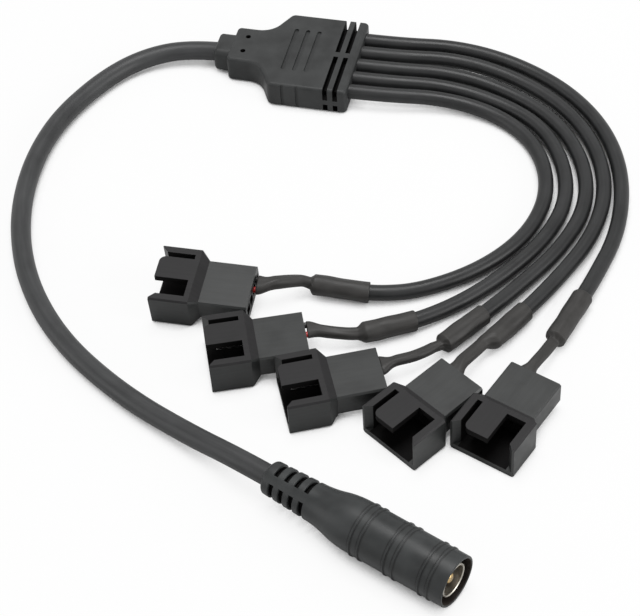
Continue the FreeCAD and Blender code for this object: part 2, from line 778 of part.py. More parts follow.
# Fan plug housing: front shroud with an open-topped tongue, a sloped step and a chambered block
def plug_housing(label):
    body = new_body(label)
    side = plug_width / 2
    block = block_width / 2
    step_end = shroud_length + step_length
    front = new_sketch(body, label + "_front_outline", "YZ_Plane")
    bevelled(front, side, 0, plug_height, plug_bevel)
    extrude(body, "Pad", label + "_shroud", front, shroud_length)
    wide = new_sketch(body, label + "_wide_outline", "YZ_Plane", shroud_length)
    bevelled(wide, side, 0, plug_height, plug_bevel)
    narrow = new_sketch(body, label + "_narrow_outline", "YZ_Plane", step_end)
    bevelled(narrow, block, block_low, block_high, plug_bevel)
    step = body.newObject("PartDesign::AdditiveLoft", label + "_step")
    step.Profile = wide
    step.Sections = [narrow]
    step.Ruled = True
    rear = new_sketch(body, label + "_rear_outline", "YZ_Plane", step_end)
    bevelled(rear, block, block_low, block_high, plug_bevel)
    extrude(body, "Pad", label + "_block", rear, plug_length - step_end)
    hollow = new_sketch(body, label + "_hollow_outline", "YZ_Plane")
    rectangle(hollow, -hollow_width / 2, hollow_width / 2, hollow_low, hollow_high)
    extrude(body, "Pocket", label + "_hollow", hollow, hollow_depth, back=True)
    gate = new_sketch(body, label + "_gate_outline", "XY_Plane", plug_height + 1)
    outline(gate, [
        (-1, tongue_left),
        (0, tongue_left),
        (gate_length, tongue_left),
        (gate_length, hollow_width / 2),
        (-1, hollow_width / 2),
    ])
    rectangle(gate, -1, gate_length, -hollow_width / 2, -tongue_right)
    extrude(body, "Pocket", label + "_gates", gate, plug_height + 1.5 - hollow_high)

    def tongue_corner(edge):
        if not along(edge, "z"):
            return False
        spot = edge.Vertexes[0].Point
        return near(spot.x, 0) and near(spot.y, tongue_left)

    def wall_corner(edge):
        if not along(edge, "z"):
            return False
        spot = edge.Vertexes[0].Point
        return near(spot.x, 0) and near(abs(spot.y), hollow_width / 2)

    lead_in = (plug_width - hollow_width) / 2 - lip_wall
    dress(body, "Fillet", label + "_tongue", tongue_corner, tongue_round)
    dress(body, "Chamfer", label + "_lead_in", wall_corner, lead_in)
    row = core_pitch * -1.5
    wall_end = hollow_depth + pin_wall
    chamber = new_sketch(body, label + "_chamber_outline", "YZ_Plane", plug_length)
    chamber_low = pin_level - chamber_height / 2
    chamber_top = chamber_low + chamber_height
    rectangle(chamber, row - chamber_width / 2, row + chamber_width / 2, chamber_low, chamber_top)
    cut_a = extrude(body, "Pocket", label + "_chamber", chamber, plug_length - wall_end)
    hole = pin_side / 2 + pin_fit
    bore = new_sketch(body, label + "_pin_hole_outline", "YZ_Plane", wall_end + 0.5)
    rectangle(bore, row - hole, row + hole, pin_level - hole, pin_level + hole)
    cut_b = extrude(body, "Pocket", label + "_pin_hole", bore, pin_wall + 1)
    latch = new_sketch(body, label + "_latch_outline", "XY_Plane", block_low - 0.5)
    latch_start = wall_end + body_length - latch_length / 2
    rectangle(latch, latch_start, latch_start + latch_length, row - latch_width / 2, row + latch_width / 2)
    cut_c = extrude(body, "Pocket", label + "_latch", latch, chamber_low - block_low + 0.75, back=True)
    repeat(body, label + "_chambers", [cut_a, cut_b, cut_c], "Y_Axis", core_pitch * 3, 4)
    return body


# Crimped pin: square blade, box body and a crimp barrel over the core
def plug_pin(label):
    body = new_body(label)
    wall_end = hollow_depth + pin_wall + base_fit
    crimp_start = wall_end + body_length
    blade = new_sketch(body, label + "_blade_outline", "YZ_Plane", pin_tip)
    half = pin_side / 2
    rectangle(blade, -half, half, -half, half)
    extrude(body, "Pad", label + "_blade", blade, wall_end - pin_tip + 0.5)
    dress(body, "Chamfer", label + "_point", lambda e: level_at(e, "x", pin_tip), pin_bevel)
    box = new_sketch(body, label + "_box_outline", "YZ_Plane", wall_end)
    rectangle(box, -body_width / 2, body_width / 2, -body_height / 2, body_height / 2)
    extrude(body, "Pad", label + "_box", box, body_length)
    barrel = new_sketch(body, label + "_crimp_outline", "YZ_Plane", crimp_start)
    circle(barrel, 0, 0, crimp_dia)
    extrude(body, "Pad", label + "_crimp", barrel, crimp_length)
    bore = new_sketch(body, label + "_bore_outline", "YZ_Plane", crimp_start + crimp_length)
    circle(bore, 0, 0, core_dia + core_fit * 2)
    extrude(body, "Pocket", label + "_bore", bore, crimp_length)
    return body


def rod_at(label, place_at, dia, length):
    # a round bar along the local X of its placement
    item = doc.addObject("Part::Cylinder", label)
    bind(item, "Radius", dia / 2)
    bind(item, "Height", length)
    item.Placement = place_at.multiply(FreeCAD.Placement(Vector(), FreeCAD.Rotation(Vector(0, 1, 0), 90)))
    return item


def loop_at(label, centre, ahead, sideways, wide, high):
    # an oval across the way ahead, wide along sideways
    item = doc.addObject("Part::Ellipse", label)
    bind(item, "MajorRadius", wide)
    bind(item, "MinorRadius", high)
    upward = ahead.cross(sideways)
    item.Placement = FreeCAD.Placement(centre, FreeCAD.Rotation(sideways, upward, ahead, "ZXY"))
    return item


# Heat-shrink: a straight sleeve over the cable end that draws in and spreads over the two cores
def heatshrink(label, end, way, plug, holds, length, show):
    mouth_at = end + way * number(sleeve_past)
    rear_at = mouth_at - way * number(length)
    rear_pose = FreeCAD.Placement(rear_at, FreeCAD.Rotation(across_x, way))
    straight = rod_at(label + "_straight", rear_pose, sleeve_dia, length)
    goal = plug.multVec(Vector(number(plug_length + show), number(core_pitch), number(pin_level)))
    inward = plug.Rotation.multVec(Vector(-1, 0, 0))
    last_side = plug.Rotation.multVec(Vector(0, -1, 0))
    first_side = way.cross(up_z)
    first_side.normalize()
    if first_side.dot(last_side) < 0:
        last_side = last_side * -1.0
    reach = 0.38 * (goal - mouth_at).Length
    hand_a = mouth_at + way * reach
    hand_b = goal - inward * reach
    neck = sleeve_neck / 2
    drawn = number(sleeve_close) / (3 * reach)
    spread = number(flare_length) / (3 * reach)
    stages = [
        (0.0, sleeve_dia / 2, sleeve_dia / 2),
        (drawn, neck * 1.1, neck * 1.1),
        (0.35, neck, neck),
        (0.6, neck * 1.02, neck * 0.98),
        (1 - spread, neck * 1.15, neck * 0.95),
        (1 - spread * 0.4, flare_width * 0.415, flare_height * 0.51),
        (1.0, flare_width / 2, flare_height / 2),
    ]
    loops = []
    for step, (t, wide, high) in enumerate(stages):
        u = 1 - t
        centre = mouth_at * u ** 3 + hand_a * (3 * u * u * t) + hand_b * (3 * u * t * t) + goal * t ** 3
        ahead = (hand_a - mouth_at) * (u * u) + (hand_b - hand_a) * (2 * u * t) + (goal - hand_b) * (t * t)
        ahead.normalize()
        sideways = first_side * u + last_side * t
        sideways = sideways - ahead * sideways.dot(ahead)
        sideways.normalize()
        loops.append(loop_at("%s_loop_%d" % (label, step), centre, ahead, sideways, wide, high))
    shoulder = doc.addObject("Part::Loft", label + "_shoulder")
    shoulder.Sections = loops[:2]
    shoulder.Solid = True
    shoulder.Ruled = True
    tail = doc.addObject("Part::Loft", label + "_tail")
    tail.Sections = loops[1:]
    tail.Solid = True
    whole = doc.addObject("Part::MultiFuse", label + "_skin")
    whole.Shapes = [straight, shoulder, tail]
    cable_pose = FreeCAD.Placement(rear_at - way, FreeCAD.Rotation(across_x, way))
    tools = [rod_at(label + "_bore", cable_pose, branch_dia + sleeve_fit * 2, length - sleeve_past + 1)]
    for step, hold in enumerate(holds):
        tools.append(rod_at("%s_hold_%d" % (label, step), hold, core_dia + core_fit * 2, core_hold + 0.5))
    group = doc.addObject("Part::MultiFuse", label + "_bores")
    group.Shapes = tools
    item = doc.addObject("Part::Cut", label)
    item.Base = whole
    item.Tool = group
    keep(item, label)


sleeve_lengths = [sleeve_length_1, sleeve_length_2, sleeve_length_3, sleeve_length_4, sleeve_length_5]
core_shows = [core_show_1, core_show_2, core_show_rest, core_show_rest, core_show_rest]
for index, route in enumerate(branch_routes):
    tag = str(index + 1)
    core_show = core_shows[index]
    plug = plug_placement(index)
    side_y = number(branch_pitch) * (index - 2)
    exit_at = Vector(number(hub_half - socket_depth), side_y, number(branch_level))
    lead_at = Vector(number(hub_half + branch_lead), side_y, number(branch_level))
    points = [exit_at, lead_at] + resting(route, branch_dia)
    tube("branch_cable_" + tag, points, branch_dia)
    way = points[-1] - points[-2]
    way.normalize()
    crimp_start = hollow_depth + pin_wall + base_fit + body_length
    core_length = plug_length + core_show + core_hold - crimp_start - core_fit
    holds = []
    for name, place_y in (("power", core_pitch * 0.5), ("ground", core_pitch * 1.5)):
        seat = Vector(0, number(place_y), number(pin_level))
        pin = plug_pin("pin_%s_%s" % (name, tag))
        keep(pin, "pin_%s_%s" % (name, tag), plug.multiply(FreeCAD.Placement(seat, FreeCAD.Rotation())))
        colour = "red" if name == "power" else "black"
        core_at = seat + across_x * number(crimp_start + core_fit)
        core_pose = plug.multiply(FreeCAD.Placement(core_at, FreeCAD.Rotation()))
        core = rod_at("wire_%s_%s" % (colour, tag), core_pose, core_dia, core_length)
        keep(core, "wire_%s_%s" % (colour, tag))
        hold_at = seat + across_x * (number(plug_length + core_show) - 0.5)
        holds.append(plug.multiply(FreeCAD.Placement(hold_at, FreeCAD.Rotation())))
    heatshrink("heatshrink_sleeve_" + tag, points[-1], way, plug, holds, sleeve_lengths[index], core_show)
    keep(plug_housing("fan_housing_" + tag), "fan_housing_" + tag, plug)
doc.recompute()

# Every feature holds and every piece is a valid solid
for item in doc.Objects:
    if "Invalid" in item.State or "Error" in item.State:
        raise RuntimeError("%s is %s" % (item.Label, item.State))
os.makedirs("parts", exist_ok=True)
for label, item in nodes:
    shape = item.Shape
    if shape.isNull() or not shape.isValid() or len(shape.Solids) != 1:
        raise RuntimeError("%s is not one valid solid: %d" % (label, len(shape.Solids)))
    shape.exportStep("parts/%s.step" % label)
    box = shape.BoundBox
    print("%-22s %8.2f mm3  z %.2f to %.2f" % (label, shape.Volume, box.ZMin, box.ZMax))
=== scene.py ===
import bpy
import bmesh
import json
import numpy as np
from math import radians
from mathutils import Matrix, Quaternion, Vector


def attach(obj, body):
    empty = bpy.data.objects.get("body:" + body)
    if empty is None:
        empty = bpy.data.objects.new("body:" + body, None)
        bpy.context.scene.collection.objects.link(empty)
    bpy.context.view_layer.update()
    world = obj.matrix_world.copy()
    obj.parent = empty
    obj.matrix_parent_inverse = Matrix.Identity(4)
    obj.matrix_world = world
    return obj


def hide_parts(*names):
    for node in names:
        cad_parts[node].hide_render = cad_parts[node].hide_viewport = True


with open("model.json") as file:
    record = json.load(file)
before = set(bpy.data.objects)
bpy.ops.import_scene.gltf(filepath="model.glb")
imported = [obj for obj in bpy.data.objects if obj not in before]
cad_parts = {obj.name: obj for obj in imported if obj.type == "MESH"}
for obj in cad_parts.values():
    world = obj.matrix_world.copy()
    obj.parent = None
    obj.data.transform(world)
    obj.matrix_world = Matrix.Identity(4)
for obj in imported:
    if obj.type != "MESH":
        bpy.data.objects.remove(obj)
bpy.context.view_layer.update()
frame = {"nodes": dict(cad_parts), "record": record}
nodes = frame["nodes"]
mm = 0.001


# camera: looks down on the table from the front right, with a small roll
shot = {
    "eye": (0.09993, -0.33396, 0.29853),
    "aim": (0.02265, -0.07116, 0.0),
    "roll": -4.06,                        # degrees about the line of sight
    "focal": 1973.8,                      # pixels
    "width": 640,                         # of the picture, pixels
    "sensor": 36.0,                       # millimetres
    "nearest": 0.01,
}


def setCamera(s):
    # focal length = focal pixels / picture width * sensor width; the roll comes after the aim
    lens = bpy.data.cameras.new("shotLens")
    lens.sensor_fit = "HORIZONTAL"
    lens.sensor_width = s["sensor"]
    lens.lens = s["focal"] / s["width"] * s["sensor"]
    lens.clip_start = s["nearest"]
    cam = bpy.data.objects.new("shotCamera", lens)
    sight = Vector(s["aim"]) - Vector(s["eye"])
    roll = Quaternion((0, 0, 1), radians(s["roll"]))
    cam.rotation_mode = "QUATERNION"
    cam.rotation_quaternion = sight.to_track_quat("-Z", "Y") @ roll
    cam.location = s["eye"]
    bpy.context.scene.collection.objects.link(cam)
    bpy.context.scene.camera = cam


setCamera(shot)
bpy.context.scene.view_settings.view_transform = "Standard"
print("camera set")


# steps shared by all node trees
def link(tree, source, socket, target, into):
    # joins an output of one node to an input of another
    tree.links.new(source.outputs[socket], target.inputs[into])


def emptyTree(owner):
    # the node tree of a material or of the world, cleared
    owner.use_nodes = True
    owner.node_tree.nodes.clear()
    return owner.node_tree


def mathOf(tree, kind, second=None):
    # one step of sums; a fixed second number is set here
    step = tree.nodes.new("ShaderNodeMath")
    step.operation = kind
    if second is not None:
        step.inputs[1].default_value = second
    return step


def rangeOf(tree, given, result=(0.0, 1.0)):
    # runs the given range of values onto the result range, and stops at its ends
    step = tree.nodes.new("ShaderNodeMapRange")
    step.inputs["From Min"].default_value, step.inputs["From Max"].default_value = given
    step.inputs["To Min"].default_value, step.inputs["To Max"].default_value = result
    return step


# stage: pale table, white surroundings, a soft lamp overhead and weaker ones right and left
stageLook = {
    "floorTone": (0.72, 0.72, 0.72, 1),
    "floorHalf": 1.5,
    "floorDrop": 0.0001,                  # the table lies this far below what rests on it
    "floorLift": 0.88,                    # how far the camera sees the open table as plain white
    "shadeReach": 0.004,                  # pieces nearer than this close off the sky over the table
    "shadeSky": (0.36, 0.52),             # open part of the sky at which the lift starts, and is full
    "shadeSamples": 4,
    "roomTone": (1, 1, 1, 1),
    "roomLight": 0.36,
    "aim": (0.02, -0.06, 0.0),
    "lamps": [                            # name, place, size, watts
        ("overheadLamp", (0.02, 0.06, 0.80), 0.46, 5.2),
        ("rightLamp", (0.75, -0.22, 0.30), 0.50, 3.6),
        ("leftLamp", (-0.62, -0.36, 0.22), 0.50, 1.1),
    ],
}


def setFloor(s):
    # the camera sees lift * plain white + (1 - lift) * lit table; the lift falls to 0 in narrow gaps
    half = s["floorHalf"]
    corners = [(x * half, y * half, -s["floorDrop"]) for x, y in ((-1, -1), (1, -1), (1, 1), (-1, 1))]
    mesh = bpy.data.meshes.new("tableTop")
    mesh.from_pydata(corners, [], [(0, 1, 2, 3)])
    floor = bpy.data.objects.new("tableTop", mesh)
    bpy.context.scene.collection.objects.link(floor)
    paint = bpy.data.materials.new("tableWhite")
    tree = emptyTree(paint)
    out = tree.nodes.new("ShaderNodeOutputMaterial")
    lit = tree.nodes.new("ShaderNodeBsdfDiffuse")
    lit.inputs["Color"].default_value = s["floorTone"]
    plain = tree.nodes.new("ShaderNodeEmission")
    path = tree.nodes.new("ShaderNodeLightPath")
    sky = tree.nodes.new("ShaderNodeAmbientOcclusion")
    sky.samples = s["shadeSamples"]
    sky.inputs["Distance"].default_value = s["shadeReach"]
    free = rangeOf(tree, s["shadeSky"])
    seen = mathOf(tree, "MULTIPLY", s["floorLift"])
    lift = mathOf(tree, "MULTIPLY")
    mix = tree.nodes.new("ShaderNodeMixShader")
    link(tree, path, "Is Camera Ray", seen, 0)
    link(tree, sky, "AO", free, "Value")
    link(tree, seen, 0, lift, 0)
    link(tree, free, "Result", lift, 1)
    link(tree, lift, 0, mix, 0)
    link(tree, lit, 0, mix, 1)
    link(tree, plain, 0, mix, 2)
    link(tree, mix, 0, out, "Surface")
    mesh.materials.append(paint)


def setRoom(s):
    # plain white to the camera, in mirrors and through glass, softer as light
    world = bpy.data.worlds.new("whiteRoom")
    bpy.context.scene.world = world
    tree = emptyTree(world)
    out = tree.nodes.new("ShaderNodeOutputWorld")
    path = tree.nodes.new("ShaderNodeLightPath")
    seen = mathOf(tree, "MAXIMUM")
    seenToo = mathOf(tree, "MAXIMUM")
    soft = tree.nodes.new("ShaderNodeBackground")
    soft.inputs["Strength"].default_value = s["roomLight"]
    white = tree.nodes.new("ShaderNodeBackground")
    for tone in (soft, white):
        tone.inputs["Color"].default_value = s["roomTone"]
    mix = tree.nodes.new("ShaderNodeMixShader")
    link(tree, path, "Is Camera Ray", seen, 0)
    link(tree, path, "Is Glossy Ray", seen, 1)
    link(tree, seen, 0, seenToo, 0)
    link(tree, path, "Is Transmission Ray", seenToo, 1)
    link(tree, seenToo, 0, mix, 0)
    link(tree, soft, 0, mix, 1)
    link(tree, white, 0, mix, 2)
    link(tree, mix, 0, out, "Surface")


def setLamps(s):
    # round lamps that all face one point of the table
    for name, place, size, watts in s["lamps"]:
        lamp = bpy.data.lights.new(name, "AREA")
        lamp.shape = "DISK"
        lamp.size = size
        lamp.energy = watts
        stand = bpy.data.objects.new(name, lamp)
        stand.location = place
        sight = Vector(s["aim"]) - Vector(place)
        stand.rotation_euler = sight.to_track_quat("-Z", "Y").to_euler()
        bpy.context.scene.collection.objects.link(stand)


setFloor(stageLook)
setRoom(stageLook)
setLamps(stageLook)
print("stage set")


# the socket: its rear end and the way it points (millimetres, degrees)
jackLay = {"back": (24.75, -119.3, 5.4), "heading": -23.0}

# its beads, by distance from the rear end, with the creases beside them, where shade is painted
jackRings = {
    "first": 21.5,                        # rear edge of the first bead
    "gap": 1.9,                           # from bead to bead in a pair
    "pitch": 7.55,                        # from pair to pair
    "width": 0.55,                        # of a bead
    "lead": 1.0,                          # the repeat starts this far before a pair
    "beside": 0.08,                       # from a bead's edge to the middle of a crease
    "spread": 0.26,                       # half of a crease
}


def jackAxis():
    # a unit vector along the heading, level
    h = radians(jackLay["heading"])
    return np.array([np.cos(h), np.sin(h), 0.0])


# finishes: groups for the uneven tone and grain of plastic, the lines along a drawn cable, the marks of
# a polished mould and the painted shade in the creases beside the socket's beads, each material giving
# them its own values
def newGroup(name, inputs, outputs):
    # an empty group with its numbers in and out
    group = bpy.data.node_groups.new(name, "ShaderNodeTree")
    for label, start in inputs:
        socket = group.interface.new_socket(label, in_out="INPUT", socket_type="NodeSocketFloat")
        socket.default_value = start
    for label in outputs:
        group.interface.new_socket(label, in_out="OUTPUT", socket_type="NodeSocketFloat")
    return group, group.nodes.new("NodeGroupInput"), group.nodes.new("NodeGroupOutput")


def noiseOf(group, detail=2.0, rough=0.55):
    # a noise, with its place and scale left to the caller
    noise = group.nodes.new("ShaderNodeTexNoise")
    noise.inputs["Detail"].default_value = detail
    noise.inputs["Roughness"].default_value = rough
    return noise


def plasticGrain():
    # Mottle: slow noise over the piece; Grain: fine noise, a height; both from object coordinates
    scales = [("MottleScale", 120), ("GrainScale", 2600)]
    group, given, result = newGroup("plasticGrain", scales, ["Mottle", "Grain"])
    place = group.nodes.new("ShaderNodeTexCoord")
    for label, scale, detail in (("Mottle", "MottleScale", 3.0), ("Grain", "GrainScale", 2.0)):
        noise = noiseOf(group, detail)
        link(group, place, "Object", noise, "Vector")
        link(group, given, scale, noise, "Scale")
        link(group, noise, "Fac", result, label)
    return group


def drawnLines():
    # Lines: noise stretched along a cable by its own map, u in metres along it and v once round it;
    # v is bent into a circle, so the noise has no seam
    group, given, result = newGroup("drawnLines", [("Along", 60), ("Round", 3)], ["Lines"])
    place = group.nodes.new("ShaderNodeTexCoord")
    split = group.nodes.new("ShaderNodeSeparateXYZ")
    join = group.nodes.new("ShaderNodeCombineXYZ")
    link(group, place, "UV", split, 0)
    stretch = mathOf(group, "MULTIPLY")
    link(group, split, "X", stretch, 0)
    link(group, given, "Along", stretch, 1)
    link(group, stretch, 0, join, "X")
    turn = mathOf(group, "MULTIPLY", 2 * np.pi)
    link(group, split, "Y", turn, 0)
    for kind, axis in (("COSINE", "Y"), ("SINE", "Z")):
        bend = mathOf(group, kind)
        spread = mathOf(group, "MULTIPLY")
        link(group, turn, 0, bend, 0)
        link(group, bend, 0, spread, 0)
        link(group, given, "Round", spread, 1)
        link(group, spread, 0, join, axis)
    noise = noiseOf(group)
    noise.inputs["Scale"].default_value = 1.0
    link(group, join, 0, noise, "Vector")
    link(group, noise, "Fac", result, "Lines")
    return group


def mouldMarks():
    # Marks: noise drawn out along u of the housing's own map, in metres
    group, given, result = newGroup("mouldMarks", [("Along", 120), ("Across", 2600)], ["Marks"])
    place = group.nodes.new("ShaderNodeTexCoord")
    split = group.nodes.new("ShaderNodeSeparateXYZ")
    join = group.nodes.new("ShaderNodeCombineXYZ")
    link(group, place, "UV", split, 0)
    for axis, scale in (("X", "Along"), ("Y", "Across")):
        stretch = mathOf(group, "MULTIPLY")
        link(group, split, axis, stretch, 0)
        link(group, given, scale, stretch, 1)
        link(group, stretch, 0, join, axis)
    noise = noiseOf(group, 3.0)
    noise.inputs["Scale"].default_value = 1.0
    link(group, join, 0, noise, "Vector")
    link(group, noise, "Fac", result, "Marks")
    return group


def beadCreaseShade():
    # Shade: painted shade, 1 in the narrow creases beside the socket's beads; the place along the axis is
    # folded into one spacing of the pairs, and a ramp holds a dark line on each side of both beads
    z = jackRings
    group, _, result = newGroup("beadCreaseShade", [], ["Shade"])
    place = group.nodes.new("ShaderNodeTexCoord")
    away = group.nodes.new("ShaderNodeVectorMath")
    away.operation = "SUBTRACT"
    away.inputs[1].default_value = np.array(jackLay["back"]) * mm
    along = group.nodes.new("ShaderNodeVectorMath")
    along.operation = "DOT_PRODUCT"
    along.inputs[1].default_value = jackAxis()
    link(group, place, "Object", away, 0)
    link(group, away, 0, along, 0)
    start = (z["first"] - z["lead"]) * mm
    shift = mathOf(group, "SUBTRACT", start)
    fold = mathOf(group, "MODULO", z["pitch"] * mm)
    part = mathOf(group, "DIVIDE", z["pitch"] * mm)
    beyond = mathOf(group, "GREATER_THAN", start)
    link(group, along, "Value", shift, 0)
    link(group, shift, 0, fold, 0)
    link(group, fold, 0, part, 0)
    link(group, along, "Value", beyond, 0)
    ramp = group.nodes.new("ShaderNodeValToRGB")
    ramp.color_ramp.elements.remove(ramp.color_ramp.elements[1])
    ramp.color_ramp.elements[0].color = (0, 0, 0, 1)
    for bead in (0.0, z["gap"]):
        for crease in (bead - z["beside"], bead + z["width"] + z["beside"]):
            for reach, level in ((-z["spread"], 0.0), (0.0, 1.0), (z["spread"], 0.0)):
                stop = ramp.color_ramp.elements.new((z["lead"] + crease + reach) / z["pitch"])
                stop.color = (level, level, level, 1)
    only = mathOf(group, "MULTIPLY")
    link(group, part, 0, ramp, "Fac")
    link(group, ramp, "Color", only, 0)
    link(group, beyond, 0, only, 1)
    link(group, only, 0, result, "Shade")
    return group


grainGroup = plasticGrain()
linesGroup = drawnLines()
marksGroup = mouldMarks()
beadCreaseShadeGroup = beadCreaseShade()

# dark, light: the two tones; rough: range of roughness; gloss: specular level; metal: 1 for bare metal
# mottle, grain: scales of the slow and the fine noise; bump, depth: strength and height of the relief
# lines, marks: scales along and round or across; linesUp, marksUp: their part in the relief
# share: their part in the tone beside the mottle; rings: how dark the painted shade in the creases beside
# the beads is
noiseSpan = (0.3, 0.7)                    # nearly all values of a noise lie in here
finishes = {
    "mouldedPvc": {
        "dark": (0.016, 0.0168, 0.0168), "light": (0.033, 0.0345, 0.0345), "rough": (0.40, 0.54),
        "gloss": 0.25, "mottle": 190, "grain": 4600, "bump": 0.16, "depth": 0.00004},
    "socketPvc": {
        "dark": (0.013, 0.0143, 0.0145), "light": (0.029, 0.0312, 0.0315), "rough": (0.36, 0.50),
        "gloss": 0.27, "mottle": 190, "grain": 4600, "bump": 0.16, "depth": 0.00004, "rings": 0.75},
    "cableJacket": {
        "dark": (0.0095, 0.0098, 0.010), "light": (0.023, 0.0235, 0.024), "rough": (0.33, 0.46),
        "gloss": 0.26, "mottle": 150, "grain": 4200, "bump": 0.12, "depth": 0.00003,
        "lines": (90, 3.2), "linesUp": 1.4, "share": 0.5},
    # painted light: a lighter copy of the cable jacket for the main cable, standing in for the stronger
    # light on it
    "feedJacketLit": {
        "dark": (0.022, 0.0225, 0.023), "light": (0.044, 0.045, 0.046), "rough": (0.36, 0.50),
        "gloss": 0.26, "mottle": 150, "grain": 4200, "bump": 0.12, "depth": 0.00003,
        "lines": (90, 3.2), "linesUp": 1.4, "share": 0.5},
    "heatShrink": {
        "dark": (0.015, 0.0142, 0.0132), "light": (0.030, 0.0286, 0.0270), "rough": (0.44, 0.60),
        "gloss": 0.30, "mottle": 320, "grain": 3200, "bump": 0.25, "depth": 0.00005,
        "lines": (330, 2.2), "linesUp": 1.8, "share": 0.4},
    "nylonBlack": {
        "dark": (0.008, 0.0088, 0.0085), "light": (0.0165, 0.0180, 0.0177), "rough": (0.34, 0.48),
        "gloss": 0.39, "mottle": 260, "grain": 6500, "bump": 0.12, "depth": 0.00003,
        "marks": (90, 1500), "marksUp": 0.8, "share": 0.65},
    # painted shade: the shroud's matt top is also a darker copy of the nylon, standing in for the shade
    # on it
    "nylonMattShaded": {
        "dark": (0.007, 0.0067, 0.0071), "light": (0.014, 0.0134, 0.0140), "rough": (0.44, 0.58),
        "gloss": 0.21, "mottle": 260, "grain": 6500, "bump": 0.16, "depth": 0.00003,
        "marks": (90, 1500), "marksUp": 0.6, "share": 0.5},
    # painted shade: a near-black finish for faces deep in slots, dimples, mouths and chambers, where
    # shade falls
    "recessShade": {
        "dark": (0.003, 0.0028, 0.0028), "light": (0.006, 0.0057, 0.0057), "rough": (0.60, 0.75),
        "gloss": 0.05, "mottle": 260, "grain": 6500, "bump": 0.12, "depth": 0.00003},
    "socketBore": {
        "dark": (0.016, 0.0125, 0.011), "light": (0.036, 0.029, 0.025), "rough": (0.45, 0.60),
        "gloss": 0.25, "mottle": 260, "grain": 5200, "bump": 0.12, "depth": 0.00003},
    "coreRed": {
        "dark": (0.30, 0.012, 0.012), "light": (0.46, 0.03, 0.025), "rough": (0.34, 0.46),
        "gloss": 0.4, "mottle": 400, "grain": 4200, "bump": 0.05, "depth": 0.00002},
    "coreBlack": {
        "dark": (0.010, 0.010, 0.010), "light": (0.018, 0.018, 0.018), "rough": (0.36, 0.48),
        "gloss": 0.4, "mottle": 400, "grain": 4200, "bump": 0.05, "depth": 0.00002},
    "nickelPlate": {
        "dark": (0.30, 0.28, 0.245), "light": (0.50, 0.475, 0.425), "rough": (0.34, 0.50),
        "gloss": 0.5, "mottle": 420, "grain": 5200, "bump": 0.05, "depth": 0.00002, "metal": 1.0},
    "brassPin": {
        "dark": (0.40, 0.27, 0.11), "light": (0.66, 0.48, 0.24), "rough": (0.18, 0.32),
        "gloss": 0.5, "mottle": 420, "grain": 5200, "bump": 0.04, "depth": 0.00002, "metal": 1.0},
    "tinPlate": {
        "dark": (0.20, 0.20, 0.195), "light": (0.34, 0.34, 0.33), "rough": (0.38, 0.52),
        "gloss": 0.5, "mottle": 500, "grain": 5200, "bump": 0.05, "depth": 0.00002, "metal": 1.0},
}


def groupNode(tree, group):
    # one use of a group
    node = tree.nodes.new("ShaderNodeGroup")
    node.node_tree = group
    return node


def makeFinish(name, f):
    # tone = dark to light by the mottle mixed with lines or marks, and black in the creases as painted
    # shade;
    # roughness by the mottle; relief = grain + lines or marks times their part
    paint = bpy.data.materials.new(name)
    paint.use_nodes = True
    tree = paint.node_tree
    shader = tree.nodes["Principled BSDF"]
    shader.inputs["Metallic"].default_value = f.get("metal", 0.0)
    shader.inputs["Specular IOR Level"].default_value = f["gloss"]
    grain = groupNode(tree, grainGroup)
    grain.inputs["MottleScale"].default_value = f["mottle"]
    grain.inputs["GrainScale"].default_value = f["grain"]
    height, factor = (grain, "Grain"), (grain, "Mottle")
    for extra, group, names, output in (("lines", linesGroup, ("Along", "Round"), "Lines"),
                                        ("marks", marksGroup, ("Along", "Across"), "Marks")):
        if extra in f:
            drawn = groupNode(tree, group)
            for socket, value in zip(names, f[extra]):
                drawn.inputs[socket].default_value = value
            both = tree.nodes.new("ShaderNodeMath")
            both.operation = "MULTIPLY_ADD"
            both.inputs[1].default_value = f[extra + "Up"]
            link(tree, drawn, output, both, 0)
            link(tree, *height, both, 2)
            height = (both, 0)
            share = tree.nodes.new("ShaderNodeMix")
            share.inputs["Factor"].default_value = f["share"]
            link(tree, *factor, share, "A")
            link(tree, drawn, output, share, "B")
            factor = (share, "Result")
    tone = tree.nodes.new("ShaderNodeMix")
    tone.data_type = "RGBA"
    tone.inputs["A"].default_value = (*f["dark"], 1)
    tone.inputs["B"].default_value = (*f["light"], 1)
    even = rangeOf(tree, noiseSpan)
    link(tree, *factor, even, "Value")
    link(tree, even, "Result", tone, "Factor")
    colour = tone
    # painted shade: the creases beside the socket's beads are mixed towards black
    if "rings" in f:
        rings = groupNode(tree, beadCreaseShadeGroup)
        depth = mathOf(tree, "MULTIPLY", f["rings"])
        link(tree, rings, "Shade", depth, 0)
        colour = tree.nodes.new("ShaderNodeMix")
        colour.data_type = "RGBA"
        colour.inputs["B"].default_value = (0, 0, 0, 1)
        link(tree, depth, 0, colour, "Factor")
        link(tree, tone, "Result", colour, "A")
    link(tree, colour, "Result", shader, "Base Color")
    rough = rangeOf(tree, noiseSpan, f["rough"])
    link(tree, grain, "Mottle", rough, "Value")
    link(tree, rough, "Result", shader, "Roughness")
    bump = tree.nodes.new("ShaderNodeBump")
    bump.inputs["Strength"].default_value = f["bump"]
    bump.inputs["Distance"].default_value = f["depth"]
    link(tree, *height, bump, "Height")
    link(tree, bump, 0, shader, "Normal")
    return paint


paints = {name: makeFinish(name, f) for name, f in finishes.items()}
print("finishes made:", len(paints))


# cables: the routes lie as the solids do, in millimetres
cableSizes = {
    "main": 4.3, "branch": 3.3,           # diameters
    "round": 40, "steps": 16,             # corners of a ring, and rings between two points of a route
    "swell": [(0.004, 410, 0.0), (0.003, 173, 1.3)],   # waves of the radius: height, pace, start
}

